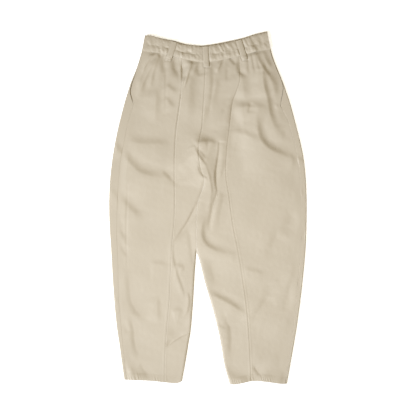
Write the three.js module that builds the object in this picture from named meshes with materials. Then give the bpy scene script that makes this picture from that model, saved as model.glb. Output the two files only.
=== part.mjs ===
import * as THREE from 'three';

// Pull-on trousers with full, barrel-shaped legs, laid flat on their back. Millimetres.
// X runs across the garment, Y from the hems to the waist, Z up from the surface it lies on.
// Left and right are as the laid garment is seen from above.

// ---- driving dimensions ----
const CLOTH = 1.4; // wall of one layer of cloth
const GAP = 0.3; // clearance between neighbouring pieces
const FOLD_ACROSS = 4.8; // across the fold at the outside of a leg
const INSEAM_TOP = 3.1; // top of the front panel at the inseam, resting on the back panel
const LAY = 5.5; // usual height of the front of a leg
const LOWEST = 3.1; // bottom of the deepest fold, clear of the back panel
const LOWEST_OVER_POCKET = 4.5; // the same where a pocket bag lies between
const SEAM_RAISE = 0.9; // stand of the lapped front seams
const SEAM_WIDTH = 11;
const HEM_DEPTH = 17;
const HEM_RAISE = 0.7; // second layer of cloth in the turned hem
const CROTCH_Y = 84;
const LEGS_PART_Y = -125; // the legs lie against each other above this line

const BAND_CLOTH = 2; // waistband with its elastic
const BAND_BACK_Z = 1.7;
const BAND_FRONT_Z = 4;
const BAND_BACK_STANDS_OVER = 2.4; // the back edge shows above the front edge
const GATHER_PITCH = 9.6;
const GATHER_HEIGHT = 2.4;
const GATHERED_FROM = -148; // the ends of the band beyond these are smooth
const GATHERED_TO = 147;
const BAND_GROOVE = 0.44; // stitched line between the two rows of elastic, share of the height

const LOOP_WIDTH = 15;
const LOOP_CLOTH = 1.3;
const POCKET_CLOTH = 1;
const POCKET_Z = 1.7;
const POCKET_GAPE = { left: 3.2, right: 1.6 }; // how wide each opening stands

const IVORY = 0xd8cdb6;

// ---- outline and seam lines, each a table of points from the waist down ----
const OUTER_LEFT = [
  { y: 459, x: -183 }, { y: 425, x: -192 }, { y: 391, x: -203 }, { y: 357, x: -217 },
  { y: 323, x: -228 }, { y: 289, x: -238 }, { y: 221, x: -255 }, { y: 153, x: -268 },
  { y: 85, x: -276.4 }, { y: 17, x: -279.7 }, { y: -51, x: -278.2 }, { y: -119, x: -274 },
  { y: -221, x: -268 }, { y: -323, x: -259.5 }, { y: -391, x: -250 }, { y: -490, x: -236 },
];
const OUTER_RIGHT = [
  { y: 459, x: 176 }, { y: 425, x: 185 }, { y: 391, x: 198 }, { y: 357, x: 212 },
  { y: 323, x: 224 }, { y: 289, x: 235 }, { y: 221, x: 253 }, { y: 153, x: 269 },
  { y: 85, x: 277 }, { y: 17, x: 279.7 }, { y: -51, x: 279.3 }, { y: -119, x: 276.5 },
  { y: -221, x: 267 }, { y: -323, x: 254 }, { y: -391, x: 243 }, { y: -500, x: 223.5 },
];
const SIDE_SEAM_LEFT = [
  { y: 459, x: -180 }, { y: 425, x: -188.5 }, { y: 391, x: -200 }, { y: 345, x: -217 },
  { y: 325, x: -220 }, { y: 308, x: -215.5 }, { y: 291, x: -211 }, { y: 236, x: -226 },
  { y: 176, x: -238 },
  { y: 136, x: -246 }, { y: 60, x: -253 }, { y: -62, x: -257 }, { y: -148, x: -254 },
  { y: -253, x: -252 }, { y: -322, x: -246 }, { y: -390, x: -240 }, { y: -490, x: -229 },
];
const SIDE_SEAM_RIGHT = [
  { y: 459, x: 173 }, { y: 425, x: 181.5 }, { y: 391, x: 195 }, { y: 345, x: 213 },
  { y: 318, x: 211 }, { y: 300, x: 207 }, { y: 288, x: 205 }, { y: 251, x: 225 },
  { y: 168, x: 249 },
  { y: 127, x: 257 }, { y: 60, x: 263 }, { y: -49, x: 265 }, { y: -120, x: 262.5 },
  { y: -227, x: 253 }, { y: -322, x: 244 }, { y: -390, x: 236 }, { y: -500, x: 218 },
];
const FRONT_SEAM_LEFT = [
  { y: 415, x: -74 }, { y: 325, x: -76 }, { y: 277, x: -82 }, { y: 209, x: -91 },
  { y: 114, x: -95 }, { y: 5, x: -94 }, { y: -49, x: -97 }, { y: -103, x: -102 },
  { y: -177, x: -106 }, { y: -253, x: -109 }, { y: -321, x: -115 }, { y: -390, x: -120 },
  { y: -490, x: -123 },
];
const FRONT_SEAM_RIGHT = [
  { y: 424, x: 90 }, { y: 360, x: 91 }, { y: 325, x: 80 }, { y: 296, x: 70 },
  { y: 220, x: 61 }, { y: 150, x: 53 }, { y: 87, x: 52 }, { y: 36, x: 60 },
  { y: -49, x: 72 }, { y: -120, x: 86 }, { y: -191, x: 98 }, { y: -276, x: 110 },
  { y: -361, x: 117 }, { y: -490, x: 123 },
];
const CENTRE_SEAM = [
  { y: 412, x: -6 }, { y: 361, x: -8 }, { y: 310, x: -11 }, { y: 228, x: -16 },
  { y: 193, x: -23 }, { y: 160, x: -26 }, { y: 122, x: -22 }, { y: 98, x: -16 },
  { y: 80, x: -9 }, { y: 50, x: -15 }, { y: 20, x: -27 }, { y: -21, x: -31 },
  { y: -125, x: -32 },
];
const INSEAM_LEFT = [
  { y: -125, x: -32 }, { y: -177, x: -36 }, { y: -228, x: -39 }, { y: -276, x: -42 },
  { y: -347, x: -48 }, { y: -389, x: -55 }, { y: -432, x: -62 }, { y: -492, x: -73 },
];
const INSEAM_RIGHT = [
  { y: -125, x: -32 }, { y: -153, x: -23 }, { y: -210, x: -9 }, { y: -258, x: 5 },
  { y: -303, x: 18 }, { y: -352, x: 30 }, { y: -392, x: 38 }, { y: -446, x: 47 },
  { y: -498, x: 61 },
];
const BAND_TOP = [
  { x: -178, y: 487 }, { x: -159, y: 486 }, { x: -142, y: 482 }, { x: -108, y: 474 },
  { x: -74, y: 465 }, { x: -40, y: 459 }, { x: -8, y: 457 }, { x: 45, y: 466 },
  { x: 96, y: 477 }, { x: 130, y: 488 }, { x: 165, y: 497.6 },
];
const BAND_BOTTOM = [
  { x: -196, y: 445 }, { x: -161, y: 440 }, { x: -135, y: 437 }, { x: -84, y: 425 },
  { x: -56, y: 418 }, { x: -28, y: 413 }, { x: -8, y: 411 }, { x: 18, y: 414 },
  { x: 66, y: 423 }, { x: 114, y: 435 }, { x: 140, y: 442 }, { x: 186, y: 449 },
];
const HEM_LEFT = [
  { x: -236, y: -487 }, { x: -208, y: -488 }, { x: -179, y: -489 }, { x: -151, y: -491 },
  { x: -123, y: -494 }, { x: -94, y: -497 }, { x: -79, y: -495 }, { x: -73, y: -491 },
  { x: -56, y: -490 }, { x: -40, y: -490 },
];
const HEM_RIGHT = [
  { x: 20, y: -490 }, { x: 40, y: -491 }, { x: 61, y: -498 }, { x: 76, y: -500 },
  { x: 104, y: -495 }, { x: 125, y: -491 }, { x: 147, y: -491 }, { x: 175, y: -494 },
  { x: 203, y: -498 }, { x: 223, y: -499 },
];
const SMOOTH_ENDS = { left: -178, right: 168 };

// ---- folds of the front ----
// Each is a line of [x, y] points along a crest or a valley, with its half width and its height;
// start and end give the share of the height kept at each end of the line.
const FOLDS = [
  // pleats and soft folds below the waistband
  { at: [[-132, 428], [-145, 402], [-166, 368], [-190, 300]], half: 11, height: -2, start: 1, end: 0 },
  { at: [[-125, 430], [-124, 404], [-122, 378]], half: 9, height: -2.8, start: 1, end: 0 },
  { at: [[-95, 426], [-92, 398], [-78, 364]], half: 9, height: -3, start: 1, end: 0.2 },
  { at: [[-73, 408], [-70, 350]], half: 8, height: -2.4, start: 0.5, end: 0 },
  { at: [[-40, 420], [-44, 396], [-60, 344], [-72, 318]], half: 9, height: -3, start: 1, end: 0.2 },
  { at: [[-35, 372], [-41, 330], [-42, 290], [-38, 236]], half: 17, height: -2.4, start: 0, end: 0 },
  { at: [[-136, 332], [-138, 285], [-140, 245]], half: 13, height: -1.6, start: 0, end: 0 },
  { at: [[-4, 402], [-6, 350], [-11, 300], [-29, 205]], half: 10, height: 2.2, start: 1, end: 0.2 },
  { at: [[32, 372], [24, 320], [18, 262], [14, 214]], half: 15, height: -1.8, start: 0, end: 0 },
  { at: [[92, 428], [91, 404], [98, 380], [113, 374]], half: 8, height: -2.6, start: 1, end: 0 },
  { at: [[106, 372], [112, 336], [116, 298]], half: 12, height: -2.2, start: 0, end: 0 },
  { at: [[97, 350], [80, 318], [71, 290], [64, 205]], half: 9, height: -2.2, start: 0, end: 0 },
  { at: [[130, 444], [161, 390], [188, 345], [201, 312]], half: 10, height: 3.2, start: 1, end: 0.1 },
  { at: [[153, 392], [158, 344], [168, 306], [193, 228]], half: 10, height: 3, start: 0, end: 0 },
  { at: [[72, 272], [112, 280], [170, 279]], half: 14, height: 2, start: 0, end: 0 },
  // crotch
  { at: [[-26, 185], [2, 189], [30, 179]], half: 9, height: 2.4, start: 0.8, end: 0.3 },
  { at: [[-34, 168], [-24, 148], [-10, 126], [-2, 102]], half: 8, height: 2.4, start: 0.8, end: 0.2 },
  { at: [[-8, 127], [7, 60], [-5, -21], [-16, -59]], half: 9, height: 2.4, start: 0, end: 0 },
  { at: [[25, 178], [17, 98], [22, 58], [6, -18]], half: 9, height: -2.6, start: 0.3, end: 0 },
  { at: [[53, 168], [48, 110], [50, 60], [33, -41]], half: 9, height: -1.8, start: 0, end: 0 },
  { at: [[-84, 113], [-54, 137], [-32, 156]], half: 12, height: 2.2, start: 0, end: 0.5 },
  { at: [[6, 35], [-20, -73], [-10, -103], [62, -136]], half: 11, height: 2.8, start: 0, end: 0.1 },
  // right leg
  { at: [[139, 262], [141, 212], [164, 167], [233, 136]], half: 14, height: 3, start: 0, end: 0.1 },
  { at: [[175, 243], [184, 216], [202, 194], [230, 183]], half: 12, height: 1.8, start: 0, end: 0 },
  { at: [[64, 219], [109, 202], [149, 179]], half: 14, height: 1.8, start: 0, end: 0 },
  { at: [[37, -14], [34, -70], [39, -112]], half: 11, height: -1.6, start: 0, end: 0 },
  { at: [[-1, -130], [15, -169], [31, -226]], half: 12, height: -2, start: 0, end: 0 },
  { at: [[0, -242], [27, -257], [59, -274], [102, -302]], half: 13, height: 2.8, start: 0.3, end: 0 },
  { at: [[46, -290], [71, -345], [73, -386], [71, -440]], half: 11, height: -2.4, start: 0, end: 0 },
  { at: [[198, -69], [182, -115], [166, -163]], half: 15, height: -1.8, start: 0, end: 0 },
  { at: [[243, -9], [231, -47], [213, -78]], half: 13, height: -1.6, start: 0, end: 0 },
  { at: [[254, -188], [236, -223], [228, -312]], half: 12, height: -1.8, start: 0, end: 0 },
  { at: [[192, -244], [158, -288], [130, -332]], half: 13, height: -2, start: 0, end: 0 },
  { at: [[94, -170], [126, -178], [162, -190]], half: 12, height: 1.4, start: 0, end: 0 },
  { at: [[51, -454], [77, -471], [119, -479]], half: 9, height: 2.2, start: 0, end: 0 },
  { at: [[156, -478], [190, -477], [221, -468]], half: 9, height: 1.8, start: 0, end: 0 },
  // left leg
  { at: [[-240, 191], [-200, 186], [-165, 180], [-106, 186]], half: 17, height: 2.6, start: 0.2, end: 0 },
  { at: [[-250, 165], [-206, 107], [-176, 90], [-126, 83]], half: 16, height: 3.2, start: 0.3, end: 0.1 },
  { at: [[-127, 112], [-108, 93], [-91, 72]], half: 9, height: -2.2, start: 0, end: 0.6 },
  { at: [[-256, 24], [-231, 2], [-184, -46]], half: 14, height: 2.2, start: 0.3, end: 0 },
  { at: [[-25, 18], [-42, -16], [-77, -75], [-97, -107]], half: 8, height: -2.2, start: 0.6, end: 0.2 },
  { at: [[-55, -40], [-48, -94], [-41, -140]], half: 9, height: -2.2, start: 0, end: 0 },
  { at: [[-100, -100], [-96, -151], [-71, -238], [-61, -272]], half: 8, height: 2.4, start: 0, end: 0 },
  { at: [[-104, -298], [-81, -292], [-60, -267]], half: 10, height: 2, start: 0, end: 0 },
  { at: [[-166, -162], [-130, -164], [-104, -167]], half: 12, height: 1.8, start: 0, end: 0.3 },
  { at: [[-237, -161], [-229, -266], [-177, -330], [-132, -339]], half: 13, height: 2.4, start: 0, end: 0 },
  { at: [[-147, -246], [-145, -290], [-144, -336]], half: 11, height: 1.8, start: 0, end: 0 },
  { at: [[-216, -300], [-201, -390], [-189, -438]], half: 11, height: -2.4, start: 0, end: 0 },
  { at: [[-117, -360], [-89, -346], [-67, -330], [-57, -306]], half: 11, height: -2, start: 0, end: 0 },
  { at: [[-236, -440], [-220, -458], [-188, -479]], half: 10, height: 2.2, start: 0.2, end: 0.3 },
];

// ---- small helpers ----
const clamp = (value, low, high) => Math.min(high, Math.max(low, value));

const ease = (value) => {
  const t = clamp(value, 0, 1);
  return t * t * (3 - 2 * t);
};

const mix = (a, b, t) => a + (b - a) * t;

// Smooth curve through a table's points: `to` as a function of `from`, level beyond the ends.
function curve(table, from, to) {
  const points = [...table].sort((a, b) => a[from] - b[from]);
  const last = points.length - 1;
  const slope = (i) => {
    const a = points[Math.max(0, i - 1)];
    const b = points[Math.min(last, i + 1)];
    return (b[to] - a[to]) / (b[from] - a[from]);
  };
  return (value) => {
    if (value <= points[0][from]) {
      return points[0][to];
    }
    if (value >= points[last][from]) {
      return points[last][to];
    }
    let i = 0;
    while (points[i + 1][from] < value) {
      i += 1;
    }
    const span = points[i + 1][from] - points[i][from];
    const t = (value - points[i][from]) / span;
    const t2 = t * t;
    const t3 = t2 * t;
    return (2 * t3 - 3 * t2 + 1) * points[i][to] + (t3 - 2 * t2 + t) * span * slope(i)
      + (3 * t2 - 2 * t3) * points[i + 1][to] + (t3 - t2) * span * slope(i + 1);
  };
}

const outerLeft = curve(OUTER_LEFT, 'y', 'x');
const outerRight = curve(OUTER_RIGHT, 'y', 'x');
const sideSeamLeft = curve(SIDE_SEAM_LEFT, 'y', 'x');
const sideSeamRight = curve(SIDE_SEAM_RIGHT, 'y', 'x');
const frontSeamLeft = curve(FRONT_SEAM_LEFT, 'y', 'x');
const frontSeamRight = curve(FRONT_SEAM_RIGHT, 'y', 'x');
const centreSeam = curve(CENTRE_SEAM, 'y', 'x');
const inseamLeft = curve(INSEAM_LEFT, 'y', 'x');
const inseamRight = curve(INSEAM_RIGHT, 'y', 'x');
const innerLeft = (y) => (y > LEGS_PART_Y ? centreSeam(y) : inseamLeft(y));
const innerRight = (y) => (y > LEGS_PART_Y ? centreSeam(y) : inseamRight(y));
const bandTop = curve(BAND_TOP, 'x', 'y');
const bandBottom = curve(BAND_BOTTOM, 'x', 'y');
const hemLeft = curve(HEM_LEFT, 'x', 'y');
const hemRight = curve(HEM_RIGHT, 'x', 'y');

// Width of the pocket opening between the front panel and the back panel's strip.
const pocketOpening = (gape, y) => GAP + gape * ease((y - 289) / 12) * ease((405 - y) / 40);

// ---- height of the front ----
function foldHeight(fold, x, y) {
  let best = Infinity;
  let along = 0;
  let run = 0;
  for (let i = 0; i + 1 < fold.at.length; i += 1) {
    const [ax, ay] = fold.at[i];
    const [bx, by] = fold.at[i + 1];
    const length = Math.hypot(bx - ax, by - ay);
    const t = clamp(((x - ax) * (bx - ax) + (y - ay) * (by - ay)) / (length * length), 0, 1);
    const distance = Math.hypot(x - mix(ax, bx, t), y - mix(ay, by, t));
    if (distance < best) {
      best = distance;
      along = run + t * length;
    }
    run += length;
  }
  if (best > 2.4 * fold.half) {
    return 0;
  }
  const t = along / run;
  const keep = Math.min(mix(fold.start, 1, ease(t / 0.3)), mix(fold.end, 1, ease((1 - t) / 0.35)));
  return fold.height * keep * Math.exp(-((best / fold.half) ** 2));
}

// Top of the cloth at a point, given how far it is from the panel's own inseam edge.
function frontHeight(x, y, fromInner) {
  let z = LAY;
  const fromSide = x < -100 ? x - sideSeamLeft(y) : sideSeamRight(y) - x;
  z += (FOLD_ACROSS - LAY) * (1 - ease(fromSide / 24));
  for (const fold of FOLDS) {
    z += foldHeight(fold, x, y) * (x < -100 || x > 100 ? ease(fromSide / 14) : 1);
  }
  const fromFrontSeam = Math.min(Math.abs(x - frontSeamLeft(y)), Math.abs(x - frontSeamRight(y)));
  z += SEAM_RAISE * (1 - ease((fromFrontSeam - SEAM_WIDTH / 2) / 2));
  const fromHem = y - (x < -30 ? hemLeft(x) : hemRight(x));
  if (y < LEGS_PART_Y) {
    z += HEM_RAISE * (1 - ease((fromHem - HEM_DEPTH) / 2));
  }
  const pocket = ease((y - 232) / 20) * (1 - ease((fromSide - 72) / 20));
  z = Math.max(z, mix(LOWEST, LOWEST_OVER_POCKET, pocket));
  const inseam = ease((CROTCH_Y + 14 - y) / 28);
  const rim = 1 - ease(fromInner / 12);
  return mix(z, Math.max(INSEAM_TOP, z - 2.4), inseam * rim);
}

// ---- solids ----
function solid(name, positions, faces, colour, roughness) {
  const geometry = new THREE.BufferGeometry();
  geometry.setAttribute('position', new THREE.Float32BufferAttribute(positions.flat(), 3));
  geometry.setIndex(faces.flat());
  geometry.computeVertexNormals();
  const material = new THREE.MeshStandardMaterial({ color: colour, roughness, metalness: 0 });
  const mesh = new THREE.Mesh(geometry, material);
  mesh.name = name;
  return mesh;
}

// A wall of cloth over a grid: rows of { x, y, top, under } from the first edge to the last.
function wall(name, rows, colour = IVORY, roughness = 0.6) {
  const high = rows.length;
  const wide = rows[0].length;
  const positions = [];
  for (const side of ['top', 'under']) {
    for (const row of rows) {
      for (const point of row) {
        positions.push([point.x, point.y, point[side]]);
      }
    }
  }
  const at = (i, j, under) => under * high * wide + i * wide + j;
  const faces = [];
  const quad = (a, b, c, d) => faces.push([a, b, c], [a, c, d]);
  for (let i = 0; i + 1 < high; i += 1) {
    for (let j = 0; j + 1 < wide; j += 1) {
      quad(at(i, j, 0), at(i + 1, j, 0), at(i + 1, j + 1, 0), at(i, j + 1, 0));
      quad(at(i, j, 1), at(i, j + 1, 1), at(i + 1, j + 1, 1), at(i + 1, j, 1));
    }
    quad(at(i, 0, 0), at(i, 0, 1), at(i + 1, 0, 1), at(i + 1, 0, 0));
    quad(at(i, wide - 1, 0), at(i + 1, wide - 1, 0), at(i + 1, wide - 1, 1), at(i, wide - 1, 1));
  }
  for (let j = 0; j + 1 < wide; j += 1) {
    quad(at(0, j, 0), at(0, j + 1, 0), at(0, j + 1, 1), at(0, j, 1));
    quad(at(high - 1, j, 0), at(high - 1, j, 1), at(high - 1, j + 1, 1), at(high - 1, j + 1, 0));
  }
  return solid(name, positions, faces, colour, roughness);
}

// A closed wall swept through rings that all have the same number of points.
function sweep(name, rings, colour = IVORY, roughness = 0.6) {
  const count = rings[0].length;
  const half = count / 2;
  const positions = rings.flat();
  const faces = [];
  const at = (i, j) => i * count + (j % count);
  for (let i = 0; i + 1 < rings.length; i += 1) {
    for (let j = 0; j < count; j += 1) {
      faces.push([at(i, j), at(i + 1, j), at(i + 1, j + 1)]);
      faces.push([at(i, j), at(i + 1, j + 1), at(i, j + 1)]);
    }
  }
  const last = rings.length - 1;
  for (let j = 0; j + 1 < half; j += 1) {
    const a = j;
    const b = j + 1;
    const c = count - 2 - j;
    const d = count - 1 - j;
    faces.push([at(0, a), at(0, b), at(0, c)], [at(0, a), at(0, c), at(0, d)]);
    faces.push([at(last, a), at(last, c), at(last, b)], [at(last, a), at(last, d), at(last, c)]);
  }
  return solid(name, positions, faces, colour, roughness);
}

// Turns every face over when a piece was laid out the other way round.
function faceOut(mesh) {
  const position = mesh.geometry.getAttribute('position');
  const index = mesh.geometry.getIndex();
  const [a, b, c] = [new THREE.Vector3(), new THREE.Vector3(), new THREE.Vector3()];
  let volume = 0;
  for (let i = 0; i < index.count; i += 3) {
    a.fromBufferAttribute(position, index.getX(i));
    b.fromBufferAttribute(position, index.getX(i + 1));
    c.fromBufferAttribute(position, index.getX(i + 2));
    volume += a.dot(b.cross(c));
  }
  if (volume < 0) {
    for (let i = 0; i < index.count; i += 3) {
      const second = index.getX(i + 1);
      index.setX(i + 1, index.getX(i + 2));
      index.setX(i + 2, second);
    }
    mesh.geometry.computeVertexNormals();
  }
  return mesh;
}

// ---- rows shared by the front and the back ----
// Shares of the way from the waistband to the hem; closer together where the folds are.
const RINGS = [
  0, 0.04, 0.08, 0.12, 0.16, 0.2, 0.235, 0.27, 0.305, 0.34, 0.38, 0.42, 0.46,
  0.51, 0.56, 0.61, 0.66, 0.72, 0.785, 0.85, 0.915, 0.979, 1,
];
const ROWS = RINGS.slice(0, -2).flatMap((share, i) => [share, (share + RINGS[i + 1]) / 2]);
ROWS.push(0.979, 0.983, 1);

const yAt = (x, hem, down) => mix(bandBottom(x) - GAP, hem(x), down);

// Where an edge line crosses a row.
function crossing(edge, hem, down) {
  let y = mix(430, -490, down);
  for (let i = 0; i < 10; i += 1) {
    y = yAt(edge(y), hem, down);
  }
  return edge(y);
}

// The same on the straight runs between rings, so that a seam's two sides match.
function seamCrossing(edge, hem, down) {
  let i = 0;
  while (i + 2 < RINGS.length && RINGS[i + 1] < down) {
    i += 1;
  }
  const t = (down - RINGS[i]) / (RINGS[i + 1] - RINGS[i]);
  return mix(crossing(edge, hem, RINGS[i]), crossing(edge, hem, RINGS[i + 1]), t);
}

// ---- front panels ----
function frontPanel(name, panel, columns) {
  const rows = ROWS.map((down) => {
    const left = seamCrossing(panel.left, panel.hem, down);
    const right = seamCrossing(panel.right, panel.hem, down);
    return columns.map((across) => {
      const x = mix(left, right, across);
      const y = yAt(x, panel.hem, down);
      const fromInner = panel.inner ? Math.abs(x - panel.inner(y)) : 99;
      const top = frontHeight(x, y, fromInner);
      return { x, y, top, under: top - CLOTH };
    });
  });
  return faceOut(wall(name, rows));
}

const even = (count) => Array.from({ length: count + 1 }, (_, i) => i / count);
const SIDE_COLUMNS = [
  0, 0.04, 0.1, 0.17, 0.24, 0.31, 0.38, 0.45, 0.52, 0.59, 0.66, 0.73, 0.8, 0.87, 0.94, 0.966, 1,
];
const INNER_COLUMNS = [0, 0.07, 0.12, 0.24, 0.36, 0.48, 0.6, 0.72, 0.84, 0.92, 1];

const fronts = [
  frontPanel('front_side_left', {
    left: (y) => sideSeamLeft(y) + pocketOpening(POCKET_GAPE.left, y),
    right: (y) => frontSeamLeft(y) - GAP / 2,
    hem: hemLeft,
  }, SIDE_COLUMNS),
  frontPanel('front_inner_left', {
    left: (y) => frontSeamLeft(y) + GAP / 2,
    right: (y) => innerLeft(y) - GAP / 2,
    inner: innerLeft,
    hem: hemLeft,
  }, INNER_COLUMNS),
  frontPanel('front_inner_right', {
    left: (y) => innerRight(y) + GAP / 2,
    right: (y) => frontSeamRight(y) - GAP / 2,
    inner: innerRight,
    hem: hemRight,
  }, INNER_COLUMNS.map((share) => 1 - share).reverse()),
  frontPanel('front_side_right', {
    left: (y) => frontSeamRight(y) + GAP / 2,
    right: (y) => sideSeamRight(y) - pocketOpening(POCKET_GAPE.right, y),
    hem: hemRight,
  }, SIDE_COLUMNS.map((share) => 1 - share).reverse()),
];

// ---- back panels: flat underneath, round the outer fold, up to the side seam on top ----
const FOLD_TURN = even(5).map((share) => -Math.PI / 2 + share * Math.PI);

function backPanel(name, panel) {
  const outward = Math.sign(panel.outer(0));
  const radius = FOLD_ACROSS / 2;
  const rings = RINGS.map((down) => {
    const inner = crossing(panel.inner, panel.hem, down) + outward * (GAP / 2);
    const turn = crossing(panel.outer, panel.hem, down) - outward * radius;
    const seam = crossing(panel.seam, panel.hem, down);
    const path = (depth) => {
      const bend = radius - depth;
      const flat = [0, 0.3, 0.65, 1].map((share) => [mix(inner, turn, share), radius - bend]);
      const round = FOLD_TURN.slice(1, -1).map((angle) => (
        [turn + outward * Math.cos(angle) * bend, radius + Math.sin(angle) * bend]
      ));
      const strip = [turn, mix(turn, seam, 0.5), seam].map((x) => [x, radius + bend]);
      return [...flat, ...round, ...strip];
    };
    const ring = [...path(0), ...path(CLOTH).reverse()];
    return ring.map(([x, z]) => [x, yAt(x, panel.hem, down), z]);
  });
  return faceOut(sweep(name, rings));
}

const backs = [
  backPanel('back_left', {
    inner: innerLeft, outer: outerLeft, seam: (y) => sideSeamLeft(y), hem: hemLeft,
  }),
  backPanel('back_right', {
    inner: innerRight, outer: outerRight, seam: (y) => sideSeamRight(y), hem: hemRight,
  }),
];

// ---- waistband ----
const LOOPS = [
  { name: 'left', top: -94, foot: -107, below: 14 },
  { name: 'centre', top: -7, foot: -4, below: 13 },
  { name: 'right', top: 87, foot: 101, below: 14 },
];

// Line across the band that fans out a little with its curve, from its foot to its top.
function bandLine(share) {
  const foot = mix(outerLeft(445) + 0.5, outerRight(449) - 0.5, share);
  const head = mix(SMOOTH_ENDS.left, SMOOTH_ENDS.right, share);
  return { foot, head };
}

function bandPoint(share, up, over) {
  const { foot, head } = bandLine(share);
  const x = mix(foot, head, up);
  return { x, y: mix(bandBottom(x) + GAP / 2, bandTop(x) + over, up) };
}

const underLoop = (x) => Math.max(...LOOPS.map((loop) => {
  const middle = (loop.top + loop.foot) / 2;
  return 1 - ease((Math.abs(x - middle) - LOOP_WIDTH * 0.55) / 5);
}));

function bandHeight(x, up) {
  const gathered = ease((x - GATHERED_FROM) / 14) * ease((GATHERED_TO - x) / 14) * (1 - underLoop(x));
  const row = up < BAND_GROOVE ? up / BAND_GROOVE : (up - BAND_GROOVE) / (1 - BAND_GROOVE);
  const puff = Math.sin(Math.PI * clamp(row, 0, 1)) ** 0.6;
  const shift = up < BAND_GROOVE ? 0.35 : 0;
  const turn = 2 * Math.PI * (x / GATHER_PITCH + shift + 0.35 * Math.sin(x / 23) + 0.2 * Math.sin(x / 9.1));
  const ripple = 0.55 + 0.45 * Math.cos(turn);
  return BAND_FRONT_Z + BAND_CLOTH + gathered * puff * ripple * GATHER_HEIGHT;
}

function frontBand() {
  const across = even(120);
  const levels = [0, 0.1, 0.24, 0.38, BAND_GROOVE, 0.52, 0.72, 0.9, 1];
  const positions = [];
  const faces = [];
  for (const share of across) {
    const underFoot = bandPoint(share, 0, 0);
    const underHead = bandPoint(share, 1, 0);
    positions.push([underFoot.x, underFoot.y, BAND_FRONT_Z]);
    for (const up of levels) {
      const { x, y } = bandPoint(share, up, 0);
      positions.push([x, y, bandHeight(x, up)]);
    }
    positions.push([underHead.x, underHead.y, BAND_FRONT_Z]);
  }
  const ring = levels.length + 2;
  for (let i = 0; i + 1 < across.length; i += 1) {
    for (let j = 0; j < ring; j += 1) {
      const [a, b] = [i * ring + j, i * ring + ((j + 1) % ring)];
      faces.push([a, b, b + ring], [a, b + ring, a + ring]);
    }
  }
  const far = (across.length - 1) * ring;
  for (let j = 1; j + 1 < ring; j += 1) {
    faces.push([0, j + 1, j], [far, far + j, far + j + 1]);
  }
  return faceOut(solid('waistband_front', positions, faces, IVORY, 0.6));
}

function backBand() {
  const rows = [0, 1].map((up) => even(24).map((share) => {
    const { x } = bandPoint(share, up, 0);
    const over = BAND_BACK_STANDS_OVER * ease((x + 150) / 30);
    const { y } = bandPoint(share, up, over);
    return { x, y, top: BAND_BACK_Z + BAND_CLOTH, under: BAND_BACK_Z };
  }));
  return faceOut(wall('waistband_back', rows));
}

// ---- belt loops ----
// Highest point of the band or of the panel under a loop.
function highest(loop, height, from, to) {
  let high = 0;
  for (const up of even(8)) {
    for (const share of even(8)) {
      const y = mix(from, to, up);
      const t = (y - bandBottom(loop.foot)) / (bandTop(loop.top) - bandBottom(loop.foot));
      const x = mix(loop.foot, loop.top, t) + (share - 0.5) * (LOOP_WIDTH + 10);
      high = Math.max(high, height(x, y, t));
    }
  }
  return high;
}

function frontLoop(loop) {
  const footY = bandBottom(loop.foot);
  const headY = bandTop(loop.top);
  const onPanel = highest(loop, (x, y) => frontHeight(x, y, 99), footY - loop.below - 4, footY);
  const narrow = (LOOP_WIDTH + 1) / (LOOP_WIDTH + 10);
  const middle = (t) => mix(loop.foot, loop.top, t);
  const onBand = highest(loop, (x, y, t) => (
    bandHeight(middle(t) + (x - middle(t)) * narrow, clamp(t, 0, 1))
  ), footY, headY);
  const slant = (loop.top - loop.foot) / (headY - footY);
  const rows = [-loop.below, -loop.below * 0.5, -2.5, 2, 16, 32, headY - footY - 1.5].map((rise) => {
    const rest = mix(onPanel, Math.max(onBand, onPanel), ease((rise + 6) / 8));
    return [-0.5, -0.17, 0.17, 0.5].map((share) => {
      const x = loop.foot + rise * slant + share * LOOP_WIDTH;
      const y = footY + rise - share * LOOP_WIDTH * slant;
      return { x, y, top: rest + GAP + LOOP_CLOTH, under: rest + GAP };
    });
  });
  return faceOut(wall(`loop_front_${loop.name}`, rows, IVORY, 0.55));
}

function backLoop(loop) {
  const slant = (loop.top - loop.foot) / (bandTop(loop.top) - bandBottom(loop.foot));
  const rows = [0, 0.5, 1].map((up) => [-0.5, 0, 0.5].map((share) => {
    const middle = mix(loop.foot, loop.top, up);
    const x = middle + share * LOOP_WIDTH;
    const y = mix(bandBottom(loop.foot) + 4, bandTop(loop.top) - 2, up) - share * LOOP_WIDTH * slant;
    return { x, y, top: CLOTH, under: 0 };
  }));
  return faceOut(wall(`loop_back_${loop.name}`, rows, IVORY, 0.55));
}

const loops = LOOPS.flatMap((loop) => [frontLoop(loop), backLoop(loop)]);

// ---- pocket bags, seen through the openings in the side seams ----
function pocket(name, seam, inward) {
  const rows = even(8).map((down) => {
    const y = mix(432, 272, down);
    const deep = mix(46, 58, Math.sin(Math.PI * down));
    return [0, 0.5, 1].map((share) => ({
      x: seam(y) + inward * (1 + share * deep),
      y,
      top: POCKET_Z + POCKET_CLOTH,
      under: POCKET_Z,
    }));
  });
  return faceOut(wall(name, rows, IVORY, 0.7));
}

const pockets = [
  pocket('pocket_left', sideSeamLeft, 1),
  pocket('pocket_right', sideSeamRight, -1),
];

const trousers = new THREE.Group();
trousers.name = 'trousers';
trousers.add(frontBand(), backBand(), ...fronts, ...backs, ...loops, ...pockets);

export default trousers;
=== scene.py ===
"""Pull-on trousers with full legs, laid flat: cloth, sewing and a plain studio round them."""

import math
from collections import namedtuple

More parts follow.
